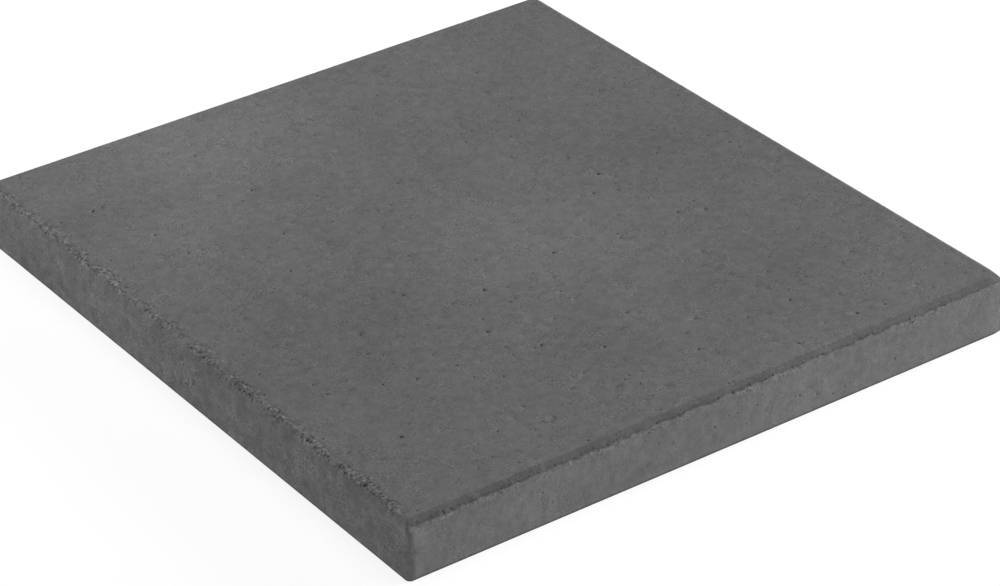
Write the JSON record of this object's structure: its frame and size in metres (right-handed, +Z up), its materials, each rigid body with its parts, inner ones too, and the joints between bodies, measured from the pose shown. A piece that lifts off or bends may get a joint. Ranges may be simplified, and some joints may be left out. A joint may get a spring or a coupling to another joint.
{
  "type": "wall coping slab",
  "caption": "Flat dark concrete slab with a chamfered top edge and a drip groove underneath, laid on a wall to keep rain out.",
  "frame": {"origin": "centre of the bed face, the underside that lies on the wall", "axes": "+X along the wall, the slab's longer side; +Y across the wall; +Z up, out of the top face"},
  "size_m": [0.5, 0.45, 0.04],
  "materials": {
    "concrete": "pressed fine-grained concrete, matt, coloured anthracite through and through"
  },
  "bodies": {
    "root": {"coping_slab": "concrete"}
  },
  "joints": []
}
